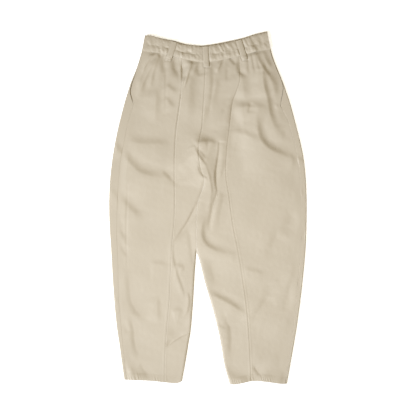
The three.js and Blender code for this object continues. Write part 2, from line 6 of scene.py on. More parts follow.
import bpy
import numpy as np
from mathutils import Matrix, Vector


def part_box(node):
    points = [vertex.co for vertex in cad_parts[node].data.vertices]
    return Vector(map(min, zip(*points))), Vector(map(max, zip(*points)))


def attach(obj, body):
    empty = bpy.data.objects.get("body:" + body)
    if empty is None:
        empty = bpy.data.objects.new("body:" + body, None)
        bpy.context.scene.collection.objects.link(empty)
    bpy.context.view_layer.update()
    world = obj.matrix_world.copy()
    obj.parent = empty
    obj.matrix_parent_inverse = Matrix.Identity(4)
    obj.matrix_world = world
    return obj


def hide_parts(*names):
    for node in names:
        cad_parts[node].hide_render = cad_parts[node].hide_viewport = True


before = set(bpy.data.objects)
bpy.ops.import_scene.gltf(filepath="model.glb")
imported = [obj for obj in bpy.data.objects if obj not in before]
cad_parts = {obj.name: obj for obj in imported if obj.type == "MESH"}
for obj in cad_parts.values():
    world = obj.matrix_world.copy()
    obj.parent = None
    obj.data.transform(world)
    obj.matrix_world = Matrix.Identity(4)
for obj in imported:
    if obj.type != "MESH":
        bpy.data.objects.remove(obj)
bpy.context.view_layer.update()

bl_info = {
    "name": "Wide-leg trousers",
    "version": (1, 0, 0),
    "blender": (4, 5, 0),
    "location": "View3D > Sidebar > Trousers",
    "description": "Builds laid-out pull-on trousers from cloth panels",
    "category": "Object",
}

MM = 0.001

# ---------------------------------------------------------------- the cut, in millimetres
# X across, Y from the hems up to the waist, Z up from the surface; left is the -X leg.
GAP = 0.3  # between neighbouring pieces
BAND_TUCK = 5.0  # how far the panels run up under the waistband
SEAM_TUCK = 4.0  # and under each other at the side seams and the centre seam
SEAM_LAP = 1.6  # and at the front seams
FOLD_ACROSS = 5.3  # thickness of the roll along the outer fold
LAY = 5.5  # usual height of the front panels
LOWEST = 1.7  # and the least height that their troughs reach
LOWEST_OVER_POCKET = 3.6
HIGHEST_AT_BAND = 5.6
INSEAM_Z = 1.25
SIDE_LIFTS_Y = 268.0  # above this the front lies a little higher at the side seam
NARROW_SIDE_Y = -455.0  # below this it settles to the side seam over a shorter way
HEM_DEPTH = 17.0
HEM_RISE = 0.45  # the turned hem's second layer
HEM_LINE = 0.35  # depth of its stitched line
CALM_HEM = 80.0  # the hems are gathered less nearer than this to the middle between the legs
BETWEEN_LEGS_X = -28.0
CROTCH_Y = 84.0
LEGS_PART_Y = -125.0
BAND_BACK_Z = 1.7
BAND_FRONT_Z = 5.4
BAND_DEEP = 45.0
BAND_GROOVE = 0.44  # height of the groove between the band's two rows, as a share
GATHERED_FROM = -150.0
GATHERED_TO = 150.0
ROWS_FROM = 430.0  # where the search for a row's crossings starts at the waist
ROWS_TO = -490.0  # and at the hems
TURNS_AT = 0.74  # share of a back panel's width that lies underneath
ON_TOP_AT = 0.84  # and share up to the strip that lies on top
UNDER_FRONT = 0.8  # how far a tucked edge sinks under a front panel
UNDER_CENTRE = 0.9  # and at the centre seam
FAR_FROM_INNER = 99.0  # stands for a place that no inner edge is near

# Pockets: (foot, head) of the opening, of the bag and of the strip that isn't tucked under.
POCKET_MOUTH = (289.0, 400.0)
POCKET_BAG = (272.0, 432.0)
STRIP_FREE = (284.0, 434.0)
POCKET_GAPES = {"left": 2.4, "right": 0.9}
POCKET_Z = 2.7

# Cross-section of a fold, in half widths of its steep side and shares of its height and length.
CREST_AT = 0.7
SHOULDER_AT = 1.3
SHOULDER = 0.12
FADE_IN = 0.3
FADE_OUT = 0.38

# Outline and seam lines as (y, x) points from the waist down.
OUTER = {
    "left": [(459, -183), (425, -192), (391, -203), (357, -217), (323, -228), (289, -238),
             (221, -255), (153, -268), (85, -276.4), (17, -279.7), (-51, -278.2),
             (-119, -274), (-221, -268), (-323, -259.5), (-391, -250), (-490, -236)],
    "right": [(459, 176), (425, 185), (391, 198), (357, 212), (323, 224), (289, 235),
              (221, 253), (153, 269), (85, 277), (17, 279.7), (-51, 279.3),
              (-119, 276.5), (-221, 267), (-323, 254), (-391, 243), (-500, 223.5)],
}
SIDE_SEAM = {
    "left": [(459, -180), (425, -188.5), (391, -200), (345, -217), (325, -220), (308, -215.5),
             (291, -211), (236, -226), (176, -238), (136, -246), (60, -253), (-62, -257),
             (-148, -254), (-253, -252), (-322, -246), (-390, -240), (-490, -229)],
    "right": [(459, 173), (425, 181.5), (391, 195), (345, 213), (318, 211), (300, 207), (288, 205),
              (251, 225), (168, 249), (127, 257), (60, 263), (-49, 265), (-120, 262.5),
              (-227, 253), (-322, 244), (-390, 236), (-500, 218)],
}
FRONT_SEAM = {
    "left": [(415, -74), (325, -76), (277, -82), (209, -91), (114, -95), (5, -94), (-49, -97),
             (-103, -102), (-177, -106), (-253, -109), (-321, -115), (-390, -120), (-490, -123)],
    "right": [(424, 90), (360, 91), (325, 80), (296, 70), (220, 61), (150, 53), (87, 52),
              (36, 60), (-49, 72), (-120, 86), (-191, 98), (-276, 110), (-361, 117), (-490, 123)],
}
CENTRE_SEAM = [(412, -6), (361, -8), (310, -11), (228, -16), (193, -23), (160, -26), (122, -22),
               (98, -16), (80, -9), (50, -15), (20, -27), (-21, -31), (-125, -32)]
INSEAM = {
    "left": [(-125, -32), (-177, -36), (-228, -39), (-276, -42), (-347, -48), (-389, -55),
             (-432, -62), (-492, -73)],
    "right": [(-125, -32), (-153, -23), (-210, -9), (-258, 5), (-303, 18), (-352, 30),
              (-392, 38), (-446, 47), (-498, 61)],
}
# Edges that run across, as (x, y) points.
BAND_TOP = [(-178, 487), (-159, 486), (-142, 482), (-108, 474), (-74, 465), (-40, 459),
            (-8, 457), (45, 466), (96, 477), (130, 488), (165, 497.6)]
BAND_FOOT = [(-196, 445), (-161, 440), (-135, 437), (-84, 425), (-56, 418), (-28, 413),
             (-8, 411), (18, 414), (66, 423), (114, 435), (140, 442), (186, 449)]
HEM = {
    "left": [(-236, -487), (-208, -488), (-179, -489), (-151, -491), (-123, -494), (-94, -497),
             (-79, -495), (-73, -491), (-56, -490), (-40, -490)],
    "right": [(20, -490), (40, -491), (61, -498), (76, -500), (104, -495), (125, -491),
              (147, -491), (175, -494), (203, -498), (223, -499)],
}
BAND_HEAD_ENDS = (-178, 168)
BAND_FOOT_ENDS_Y = (445.0, 449.0)
# Depth of the line along each front seam, and rise of the lapped cloth, as (y, depth) points.
SEAM_DITCH = {
    "left": [(-490, 0.11), (-60, 0.14), (0, 0.4), (160, 0.6), (200, 0.9), (318, 1.1), (334, 0.2),
             (430, 0.1)],
    "right": [(-490, 0.12), (40, 0.14), (70, 0.08), (190, 0.12), (235, 0.35), (335, 0.3),
              (352, 0.3), (430, 0.1)],
}
SEAM_RISE = {
    "left": [(-490, 0.3), (-80, 0.24), (0, 0.15), (430, 0.1)],
    "right": [(-490, 0.26), (30, 0.24), (70, 0.1), (430, 0.1)],
}
# How far the back of the band shows above the front, as (x, rise) points.
BACK_STANDS_OVER = [(-150, -0.6), (-125, 0.0), (-106, 0.8), (-92, 1.7), (-60, 0.4), (-30, 1.3),
                    (0, 2.4), (80, 2.2), (140, 1.8), (165, 0.6)]
# Belt loops: X of the head and of the foot, and how far the foot hangs below the band.
Loop = namedtuple("Loop", "name head foot below")
LOOPS = [Loop("left", -94, -107, 14), Loop("centre", -7, -4, 13), Loop("right", 87, 101, 14)]
LOOP_WIDE = 15.0
BACK_LOOP_BELOW = -3.5

# ---------------------------------------------------------------- folds of the front
# path: the steep side of the fold, drawn down or to the right; a trough has its bottom to the
# left of it and a ridge its crest to the right; wide_from, wide_to: half width of the steep side
# at each end; height: rise, or fall if negative; soft: how many times wider the other side is;
# keep_from, keep_to: share of the height left at each end.
Fold = namedtuple("Fold", "path wide_from wide_to height soft keep_from keep_to")
WAIST_FOLDS = [
    Fold([(-142, 438), (-158, 424), (-172, 406), (-184, 378)], 4, 5, 3.0, 1.8, 0.3, 0.1),
    Fold([(-139, 430), (-154, 404), (-170, 374), (-184, 340), (-196, 304)], 5, 8, 3.6, 2,
         0.2, 0),
    Fold([(-136, 426), (-147, 398), (-155, 370), (-162, 330)], 5, 7, 2.7, 2, 0.2, 0),
    Fold([(-172, 404), (-186, 372), (-198, 334)], 5, 7, 1.6, 1.6, 0, 0),
    Fold([(-138, 437), (-136, 424)], 3, 3, -1.0, 1.9, 0.8, 0.1),
    Fold([(-131, 430), (-130, 404), (-128, 378)], 8, 9, -2.8, 1.5, 0.6, 0.3),
    Fold([(-121, 400), (-121, 330), (-122, 262)], 3, 3.5, -0.5, 1.6, 0.3, 0.2),
    Fold([(-100, 426), (-98, 400), (-92, 383), (-82, 366)], 10, 9, -3.5, 1.6, 0.7, 0.2),
    Fold([(-76, 412), (-73, 384), (-73, 352)], 4.5, 3.5, -3.6, 3, 0.3, 0),
    Fold([(-44, 420), (-47, 400), (-54, 380), (-63, 350), (-74, 326)], 5.5, 4, 3.5, 1.8,
         0.65, 0.2),
    Fold([(-60, 388), (-67, 356), (-77, 328)], 2.5, 2.5, -1.4, 1, 0, 0),
    Fold([(-25, 412), (-34, 392), (-43, 370)], 5, 6, 1.6, 3, 0.6, 0),
    Fold([(-31, 398), (-26, 368)], 6, 6, -1.7, 3.5, 0.5, 0),
    Fold([(-36, 402), (-42, 366), (-45, 330), (-46, 290), (-44, 236)], 13, 18, 3.2, 2, 0.3, 0),
    Fold([(9, 402), (8, 350), (0, 300), (-9, 250), (-22, 203)], 7, 9, 2.0, 2.7, 0.7, 0.2),
    Fold([(13, 380), (12, 345), (5, 290), (-1, 250)], 3.5, 4, -0.8, 1.9, 0.2, 0),
    Fold([(-117, 354), (-104, 339), (-82, 327)], 8, 8, 1.7, 3, 0, 0.3),
    Fold([(-120, 318), (-106, 298), (-90, 276)], 8, 9, 1.9, 3, 0, 0),
    Fold([(-141, 342), (-142, 285), (-147, 236)], 10, 12, 2.6, 2.6, 0, 0),
    Fold([(41, 416), (35, 400), (26, 378)], 4, 5, 2.4, 1.9, 1, 0),
    Fold([(62, 424), (70, 412), (82, 402)], 5, 5, -2.0, 1.9, 1, 0),
    Fold([(86, 428), (85, 404), (87, 388), (95, 377), (114, 369)], 6, 6, -2.9, 2.2, 0.3, 0),
    Fold([(109, 430), (112, 410), (115, 372)], 4, 5, -1.2, 2.4, 0.6, 0),
    Fold([(122, 436), (127, 410), (133, 372)], 4, 5, -1.4, 2.6, 0.8, 0),
    Fold([(134, 436), (141, 408), (147, 376)], 4, 5, -1.0, 2, 0.8, 0),
    Fold([(131, 456), (138, 440), (147, 417), (157, 401), (171, 380), (190, 352)], 8, 7, 3.7, 5,
         0.8, 0.1),
    Fold([(160, 448), (173, 420), (188, 388)], 16, 12, 3.4, 2, 1, 0),
    Fold([(180, 376), (190, 346), (199, 308)], 12, 10, 2.4, 4, 0.4, 0),
    Fold([(159, 390), (160, 362), (165, 336), (173, 306), (177, 280), (182, 258), (192, 232),
          (200, 206)], 8, 10, 4.0, 6, 0.6, 0),
    Fold([(104, 386), (107, 338), (112, 300)], 14, 14, 3.0, 3, 0.2, 0),
    Fold([(92, 350), (75, 320), (66, 290), (62, 250), (59, 205)], 7, 7, -2.2, 2.4, 0, 0),
    Fold([(120, 300), (117, 286), (111, 266)], 5, 5, -1.7, 3, 0, 0.2),
    Fold([(66, 287), (122, 291), (178, 287)], 12, 12, 3.9, 4, 0, 0),
    Fold([(192, 292), (206, 288)], 4, 4, 1.6, 1.5, 0.2, 0.8),
    Fold([(34, 368), (25, 336), (16, 300), (10, 268)], 9, 9, 2.4, 1.6, 0, 0),
    Fold([(40, 265), (60, 288), (74, 300)], 5, 5, -1.0, 1.3, 0, 0),
    Fold([(53, 402), (52, 350)], 4, 5, -0.8, 1.9, 0, 0),
]
CROTCH_FOLDS = [
    Fold([(146, 266), (148, 216), (158, 190), (176, 172), (204, 158), (242, 143)], 11, 12, 4.9, 5,
         0, 0.4),
    Fold([(196, 240), (206, 214), (222, 196)], 10, 10, 1.2, 2, 0, 0),
    Fold([(58, 222), (88, 218), (116, 208), (152, 190)], 13, 11, 2.3, 4, 0.2, 0),
    Fold([(-20, 240), (-10, 160), (0, 90), (4, 10)], 34, 26, -2.4, 4, 0, 0),
    Fold([(-27, 195), (-2, 192), (30, 184)], 12, 7, 2.7, 4, 0.9, 0),
    Fold([(-29, 187), (-12, 188), (2, 190)], 7, 6, 1.8, 3, 0.9, 0),
    Fold([(-16, 202), (-3, 160), (9, 110), (16, 70), (15, 30)], 23, 15, 4.6, 3, 0.3, 0),
    Fold([(-36, 172), (-27, 152), (-14, 133), (-2, 116)], 5, 4.5, 2.8, 5, 0.6, 0),
    Fold([(-26, 166), (-15, 152), (-4, 136)], 6, 5, -2.2, 4, 0.3, 0),
    Fold([(-6, 122), (3, 98), (9, 72), (12, 46), (8, 18), (2, -12)], 4, 5, 1.2, 5, 0.4, 0),
    Fold([(-28, 124), (-25, 104), (-16, 91), (-4, 84)], 3, 3, 1.3, 4, 0.3, 0.5),
    Fold([(20, 182), (21, 140), (20, 100), (21, 60), (16, 20)], 10, 8, -2.2, 6, 0.4, 0),
    Fold([(31, 184), (30, 160), (26, 130), (22, 100), (22, 74), (26, 46), (18, 16), (10, -4)],
         3.5, 4.5, -2.5, 7, 0.6, 0),
    Fold([(62, 236), (66, 160), (64, 110), (68, 40)], 24, 20, 6.0, 2.6, 0.3, 0),
    Fold([(26, 58), (20, 34), (12, 8), (7, -18), (2, -48), (2, -78)], 6, 6, -2.4, 1.1, 0, 0),
    Fold([(49, 176), (47, 130), (42, 100), (42, 70), (41, 40), (36, 10), (31, -20), (27, -50),
          (26, -96)], 9, 10, -1.9, 4, 0.2, 0),
    Fold([(51, 218), (50, 176), (47, 130), (43, 84), (43, 44)], 11, 11, -3.2, 5, 0.3, 0.2),
    Fold([(-1, -8), (-12, -50), (-14, -76), (-5, -99), (14, -113), (36, -121), (68, -129)],
         8, 11, 3.6, 3, 0, 0.3),
    Fold([(-92, 118), (-66, 134), (-40, 160)], 9, 8, 1.4, 3, 0, 0.2),
    Fold([(-12, 78), (-20, 46), (-33, 18)], 4, 4, -1.0, 1.2, 0.5, 0.3),
]
LEG_FOLDS = [
    Fold([(-10, -132), (4, -172), (20, -228)], 14, 14, -2.2, 2, 0, 0),
    Fold([(-2, -236), (30, -251), (62, -268), (112, -300)], 11, 9, 3.7, 6, 0.3, 0.2),
    Fold([(38, -290), (51, -325), (60, -346), (62, -386), (62, -440)], 9, 10, -2.6, 6, 0.1, 0),
    Fold([(24, -328), (56, -346)], 7, 7, -1.3, 2, 0.3, 0),
    Fold([(196, -62), (178, -104), (158, -152)], 11, 12, -1.3, 2.6, 0, 0),
    Fold([(236, -6), (224, -44), (206, -74)], 12, 12, -1.5, 2, 0, 0),
    Fold([(260, -140), (247, -184), (229, -220), (216, -262), (208, -312)], 11, 12, -1.3, 2.6,
         0, 0),
    Fold([(178, -234), (150, -276), (131, -304), (124, -332)], 10, 9, -1.7, 2.4, 0, 0.3),
    Fold([(94, -170), (128, -177), (168, -186)], 9, 9, 1.3, 3, 0, 0),
    Fold([(194, -196), (199, -212), (198, -230)], 9, 9, -0.6, 2.5, 0, 0),
    Fold([(163, -216), (168, -232), (165, -250)], 9, 9, -0.6, 2.5, 0, 0),
    Fold([(128, -446), (135, -460), (150, -478)], 5, 5, -1.7, 4, 0.1, 0.6),
    Fold([(42, -456), (74, -475), (126, -484)], 17, 11, 3.2, 4, 0.4, 0),
    Fold([(138, -464), (182, -472), (228, -464)], 14, 14, 2.4, 5, 0, 0.3),
    Fold([(126, -404), (160, -424), (206, -412)], 13, 13, 0.8, 3, 0, 0),
    Fold([(-234, 196), (-200, 190), (-165, 186), (-100, 190)], 13, 13, 2.5, 4, 0, 0),
    Fold([(-247, 172), (-222, 138), (-200, 113), (-172, 99), (-122, 90)], 13, 14, 3.9, 4, 0.4,
         0.4),
    Fold([(-131, 108), (-112, 89), (-95, 69)], 7, 7, -1.5, 3, 0, 0.7),
    Fold([(-258, 34), (-225, 9), (-178, -40)], 12, 13, 2.6, 2.2, 0.3, 0),
    Fold([(-28, 20), (-45, -14), (-62, -46), (-80, -72), (-100, -104)], 4.5, 4.5, -3.0, 2, 0.25,
         0.2),
    Fold([(-60, -40), (-53, -94), (-46, -140), (-41, -196)], 7, 8, -1.1, 1.4, 0, 0),
    Fold([(-100, -100), (-96, -150), (-84, -196), (-70, -236), (-60, -276)], 4, 4, 1.4, 3, 0.2, 0),
    Fold([(-58, -232), (-52, -262), (-58, -296), (-72, -310)], 4, 4, 1.6, 2, 0, 0),
    Fold([(-106, -290), (-84, -288), (-66, -292)], 8, 8, 1.4, 3, 0, 0),
    Fold([(-168, -154), (-130, -157), (-104, -160)], 9, 9, 1.4, 4, 0, 0.3),
    Fold([(-94, -161), (-62, -168)], 8, 8, 1.8, 2, 0.2, 0),
    Fold([(-229, -160), (-226, -225), (-222, -262), (-206, -294), (-174, -322), (-132, -331)],
         9, 11, -1.9, 4, 0, 0),
    Fold([(-141, -246), (-139, -290), (-136, -330)], 8, 9, 1.6, 3, 0, 0),
    Fold([(-222, -300), (-214, -350), (-209, -390), (-196, -438)], 9, 10, -2.7, 6, 0, 0),
    Fold([(-246, -326), (-226, -366)], 8, 8, -1.4, 1.4, 0.3, 0),
    Fold([(-250, -160), (-247, -220), (-241, -285), (-235, -350)], 8, 8, 1.1, 1.2, 0, 0),
    Fold([(-119, -404), (-106, -387), (-82, -370), (-52, -354)], 3.5, 4, -2.8, 2.4, 0.1, 0.3),
    Fold([(-114, -366), (-86, -352), (-62, -334), (-50, -306)], 10, 9, -2.2, 1.4, 0, 0),
    Fold([(-248, -424), (-226, -450), (-198, -468), (-156, -477)], 14, 13, 2.9, 4, 0.3, 0.2),
    Fold([(-196, -438), (-182, -462), (-172, -480)], 6, 6, -0.8, 3, 0, 0.4),
    Fold([(-228, 60), (-232, -60), (-230, -170)], 3, 3, -0.6, 1, 0.4, 0.4),
    Fold([(-256, -26), (-249, -64), (-228, -98)], 7, 8, -1.6, 2, 0.3, 0.2),
    Fold([(-254, -104), (-242, -122), (-226, -142)], 6, 7, -1.2, 2, 0.4, 0),
]
FRONT_FOLDS = WAIST_FOLDS + CROTCH_FOLDS + LEG_FOLDS
# Folds of the strips between the side seams and the outer folds.
STRIP_FOLDS = [
    Fold([(-272, 190), (-258, 176), (-244, 158)], 8, 9, 1.6, 2, 0.3, 1),
    Fold([(-272, 56), (-258, 34), (-246, 20)], 8, 9, 0.9, 2, 0.3, 1),
    Fold([(-264, -250), (-250, -276)], 8, 8, 0.8, 2, 0.2, 0.2),
    Fold([(236, 150), (256, 140), (272, 138)], 8, 7, 1.3, 2, 1, 0.2),
    Fold([(262, 60), (268, 30)], 6, 6, 0.8, 2, 0, 0),
    Fold([(276, -60), (262, -92)], 7, 7, -0.8, 2, 0.3, 0.3),
    Fold([(258, -196), (250, -224)], 7, 7, -0.8, 2, 0.3, 0.3),
]
BAND_FOLDS = [
    Fold([(-163, 482), (-158, 462), (-150, 444)], 4, 5, 0.7, 1.6, 0.3, 0.6),
    Fold([(-176, 470), (-164, 452)], 4, 4, -0.7, 1.2, 0.2, 0.2),
    Fold([(-139, 446), (-134, 438)], 3.5, 3.5, -1.0, 1, 0.2, 0.6),
    Fold([(-62, 440), (-46, 437)], 4, 4, -2.0, 1.4, 0.4, 0.4),
    Fold([(122, 468), (130, 457), (138, 444)], 5, 6, 1.8, 2, 0.2, 1),
    Fold([(143, 486), (148, 470), (153, 455)], 4, 5, -0.9, 1.3, 0, 0.3),
    Fold([(158, 468), (168, 452)], 4, 4, 0.8, 1.3, 0, 0.6),
]

# Shallow creases of the underside, which presses flat on the surface between them.
BACK_FOLDS = [
    Fold([(-120, 425), (-128, 370), (-122, 300)], 5, 9, -2.4, 1, 1, 0),
    Fold([(-88, 420), (-84, 360)], 4, 7, -2.6, 1.2, 1, 0),
    Fold([(-52, 414), (-58, 350), (-54, 290)], 5, 8, -2.2, 1, 1, 0),
    Fold([(-26, 410), (-30, 345)], 4, 6, -2.0, 1.3, 1, 0),
    Fold([(22, 412), (30, 350), (26, 280)], 5, 8, -2.4, 1, 1, 0),
    Fold([(58, 420), (56, 365)], 4, 7, -2.6, 1.2, 1, 0),
    Fold([(96, 428), (106, 360), (112, 300)], 5, 9, -2.2, 1, 1, 0),
    Fold([(138, 438), (152, 380)], 5, 8, -2.0, 1.3, 1, 0),
    Fold([(-160, 168), (-90, 175), (-30, 150)], 10, 7, -2.4, 1.2, 0, 0.4),
    Fold([(-150, 18), (-100, 20), (-34, 60)], 10, 7, -2.0, 1.4, 0, 0.3),
    Fold([(-12, 140), (60, 168), (140, 152)], 7, 10, -2.4, 1.2, 0.4, 0),
    Fold([(-14, 40), (70, 10), (130, -22)], 7, 10, -2.2, 1.4, 0.3, 0),
    Fold([(-240, -60), (-190, -90), (-120, -84)], 8, 11, -1.8, 1.2, 0, 0),
    Fold([(-70, -190), (-110, -240), (-180, -262)], 7, 10, -2.2, 1, 0, 0),
    Fold([(-90, -330), (-140, -366), (-200, -360)], 6, 9, -1.8, 1.3, 0, 0),
    Fold([(240, -70), (190, -110), (120, -100)], 8, 11, -1.8, 1, 0, 0),
    Fold([(40, -210), (100, -262), (170, -280)], 7, 10, -2.2, 1.3, 0, 0),
    Fold([(200, -350), (150, -392), (90, -382)], 6, 9, -1.8, 1, 0, 0),
]

# ---------------------------------------------------------------- cloth, mesh and stage
# Thickness of the smaller pieces in millimetres, and what a piece's flat size adds.
BAND_BACK_CLOTH = 0.5
LOOP_CLOTH = 1.0
POCKET_CLOTH = 0.4
BAND_LET_OUT = 1.1
UNEVEN_TONE = 0.035
# Tint of the pocket bags' cloth against the trousers' cloth, warmer and more golden: partly the
# bag's own cloth, partly painted warm shade for the pocket slits where the bags lie in shade.
POCKET_SHADE_TINT = (1.1, 0.98, 0.74)

# Mesh lines across and down a piece.
PANEL_LONG = 930
BACK_ROUND = 330
FRONT_FILLS = {"side": 0.85, "inner": 0.6}  # share of its box that a panel fills across
FINER_ACROSS = 1.4
COARSER_BACK = 1.35
BAND_GRID = (320, 40)
LOOP_GRID = (24, 60)
POCKET_GRID = (24, 64)
SMOOTH_BELOW = 50.0  # degrees

# Floor, lights and camera, in metres.
FLOOR_SIZE = 24
FLOOR_Z = -0.0002
FLOOR_GLOW = 0.52
FILL_COLOUR = (1.27, 1, 0.5)
KEY_TOWARD = (-0.65, -0.57, 0.5)
KEY_DISTANCE = 8
KEY_SIZE = 2.6
KEY_COLOUR = (0.915, 1.0, 1.185)
TOP_PLACE = (-0.05, -0.155, 1.05)
TOP_SIZE = 0.7
CAMERA_OVER = (0.0007, -0.0011)
SENSOR = 36  # millimetres

# ---------------------------------------------------------------- arithmetic


def ease(value):
    t = np.clip(value, 0.0, 1.0)
    return t * t * (3 - 2 * t)


def mix(a, b, t):
    return a + (b - a) * t


def bell(value):
    return np.exp(-(value**2))


def curve(points):
    """Smooth curve through (from, to) points, level beyond its ends."""
    table = sorted(points)
    at = np.array([p[0] for p in table], float)
    to = np.array([p[1] for p in table], float)
    slope = np.gradient(to, at)
    slope[1:-1] = (to[2:] - to[:-2]) / (at[2:] - at[:-2])

    def evaluate(value):
        v = np.clip(np.asarray(value, float), at[0], at[-1])
        i = np.clip(np.searchsorted(at, v) - 1, 0, len(at) - 2)
        span = at[i + 1] - at[i]
        t = (v - at[i]) / span
        return ((2 * t**3 - 3 * t**2 + 1) * to[i] + (t**3 - 2 * t**2 + t) * span * slope[i]
                + (3 * t**2 - 2 * t**3) * to[i + 1] + (t**3 - t**2) * span * slope[i + 1])

    return evaluate


SIDES = ("left", "right")
OUTWARD = {"left": -1, "right": 1}
outer = {side: curve(OUTER[side]) for side in SIDES}
side_seam = {side: curve(SIDE_SEAM[side]) for side in SIDES}
front_seam = {side: curve(FRONT_SEAM[side]) for side in SIDES}
hem = {side: curve(HEM[side]) for side in SIDES}
band_top = curve(BAND_TOP)
band_foot = curve(BAND_FOOT)
centre_seam = curve(CENTRE_SEAM)
inseam = {side: curve(INSEAM[side]) for side in SIDES}
back_stands_over = curve(BACK_STANDS_OVER)
seam_ditch = {side: curve(SEAM_DITCH[side]) for side in SIDES}
seam_rise = {side: curve(SEAM_RISE[side]) for side in SIDES}


def inner_edge(side):
    """The centre seam down to where the legs part, and the inseam below it."""
    return lambda y: np.where(y > LEGS_PART_Y, centre_seam(y), inseam[side](y))


def pocket_opening(side, y):
    """Width of the gap between the front panel and the strip of the back panel."""
    foot, head = POCKET_MOUTH
    return POCKET_GAPES[side] * ease((y - foot) / 26) * ease((head - y) / 70)


def beside_pocket(y):
    """One along the pocket, where the strip isn't tucked under the front; zero elsewhere."""
    foot, head = STRIP_FREE
    return ease((y - foot) / 8) * ease((head - y) / 14)


def row_y(x, side, down):
    """Y of a row of the panel, from its tucked upper edge at 0 to the hem at 1."""
    return mix(band_foot(x) + BAND_TUCK, hem[side](x), down)


def crossing(edge, side, down):
    """Where an edge line crosses a row of the panel."""
    y = mix(ROWS_FROM, ROWS_TO, down)
    for _ in range(12):
        y = row_y(edge(y), side, down)
    return edge(y)


def spline(path, steps=7):
    """The points of a path with smooth bends between them."""
    pts = np.array(path, float)
    ends = np.vstack([2 * pts[0] - pts[1], pts, 2 * pts[-1] - pts[-2]])
    out = []
    for i in range(1, len(ends) - 2):
        for t in np.arange(steps) / steps:
            a, b, c, d = ends[i - 1:i + 3]
            out.append(0.5 * (2 * b + (c - a) * t + (2 * a - 5 * b + 4 * c - d) * t * t
                              + (3 * b - a - 3 * c + d) * t**3))
    return np.vstack(out + [pts[-1]])


# ---------------------------------------------------------------- relief of the cloth


def fold_height(fold, x, y):
    """Rise or fall of one fold, which falls away steeply on its path's side."""
    pts = spline(fold.path)
    reach = 3.2 * max(fold.wide_from, fold.wide_to) * max(1, fold.soft)
    near = ((x > pts[:, 0].min() - reach) & (x < pts[:, 0].max() + reach)
            & (y > pts[:, 1].min() - reach) & (y < pts[:, 1].max() + reach))
    out = np.zeros_like(x)
    px, py = x[near], y[near]
    if not len(px):
        return out
    best = np.full(len(px), 1e9)
    along = np.zeros(len(px))
    aside = np.zeros(len(px))
    past = np.zeros(len(px))
    run = 0.0
    last = len(pts) - 2
    for i, ((ax, ay), (bx, by)) in enumerate(zip(pts[:-1], pts[1:])):
        length = math.hypot(bx - ax, by - ay)
        ux, uy = (bx - ax) / length, (by - ay) / length
        reached = (px - ax) * ux + (py - ay) * uy
        offset = (py - ay) * ux - (px - ax) * uy
        inside = np.clip(reached, 0, length)
        over = reached - inside
        distance = np.hypot(offset, over)
        closer = distance < best
        open_end = (over < 0) if i == 0 else (over > 0) if i == last else np.zeros(len(px), bool)
        best = np.where(closer, distance, best)
        along = np.where(closer, run + inside, along)
        aside = np.where(closer, np.where(open_end, offset, np.sign(offset) * distance), aside)
        past = np.where(closer, np.where(open_end, over, 0), past)
        run += length
    t = along / run
    keep = np.minimum(mix(fold.keep_from, 1, ease(t / FADE_IN)),
                      mix(fold.keep_to, 1, ease((1 - t) / FADE_OUT)))
    wide = mix(fold.wide_from, fold.wide_to, t)
    across = -np.sign(fold.height) * aside / wide
    from_crest = across - CREST_AT
    gentle = np.where(from_crest > 0, from_crest / mix(1, fold.soft, keep), from_crest)
    profile = bell(gentle) - SHOULDER * bell(across + SHOULDER_AT)
    out[near] = fold.height * keep * profile * bell(past / wide)
    return out


def all_folds(folds, x, y):
    total = np.zeros_like(x)
    for fold in folds:
        total += fold_height(fold, x, y)
    return total


def waves(seed, shortest, longest, count=26):
    """A soft, uneven surface of about unit height made from crossing waves."""
    rng = np.random.default_rng(seed)
    length = np.exp(rng.uniform(math.log(shortest), math.log(longest), count))
    angle = rng.uniform(0, 2 * math.pi, count)
    phase = rng.uniform(0, 2 * math.pi, count)
    size = rng.uniform(0.5, 1.0, count) * np.sqrt(length / longest)
    size *= 1.6 / np.sqrt((size**2).sum())

    def evaluate(x, y):
        total = np.zeros_like(x)
        for k in range(count):
            step = (x * math.cos(angle[k]) + y * math.sin(angle[k])) * 2 * math.pi / length[k]
            total += size[k] * np.sin(step + phase[k])
        return total

    return evaluate


broad_swell = waves(3, 70, 190)
small_crumple = waves(11, 14, 42)
tiny_crumple = waves(17, 5, 11)


def gathers(pitch, wander, seed):
    """Soft uneven gathers across the waist; each fades out somewhere along its row."""
    rng = np.random.default_rng(seed)
    count = int((GATHERED_TO - GATHERED_FROM) / pitch) + 2
    middle = GATHERED_FROM + (np.arange(count) + rng.uniform(-wander, wander, count)) * pitch
    tall = rng.uniform(0.35, 1.0, count)
    wide = rng.uniform(0.34, 0.5, count) * pitch
    reach = rng.uniform(0.5, 1.5, count)
    hangs = rng.random(count) < 0.5

    def evaluate(x, row):
        total = np.zeros_like(x)
        for k in range(count):
            start = 1 - row if hangs[k] else row
            total += (tall[k] * bell((x - middle[k]) / wide[k])
                      * (0.25 + 0.75 * ease((reach[k] - start) / 0.4)))
        return total

    return evaluate


upper_gathers = gathers(9.6, 0.26, 5)
lower_gathers = gathers(10.4, 0.36, 9)


def gathered_part(x, blend):
    """One where elastic draws the band in, zero at its plain ends."""
    return ease((x - GATHERED_FROM) / blend) * ease((GATHERED_TO - x) / blend)


def gathers_below_band(x, below_band):
    """The band's gathers where they run out into the panels."""
    ribs = lower_gathers(x + 0.05 * below_band, np.zeros_like(x))
    return 1.3 * ribs * np.exp(-below_band / 14) * gathered_part(x, 12)


def fullness_below_band(x, below_band):
    """Cloth that the gathers let out, and that has flattened again over the hips."""
    lets_out = ease(below_band / 44) * (1 - ease((below_band - 60) / 150))
    return 1.9 * lets_out * ease((x + 165) / 30)


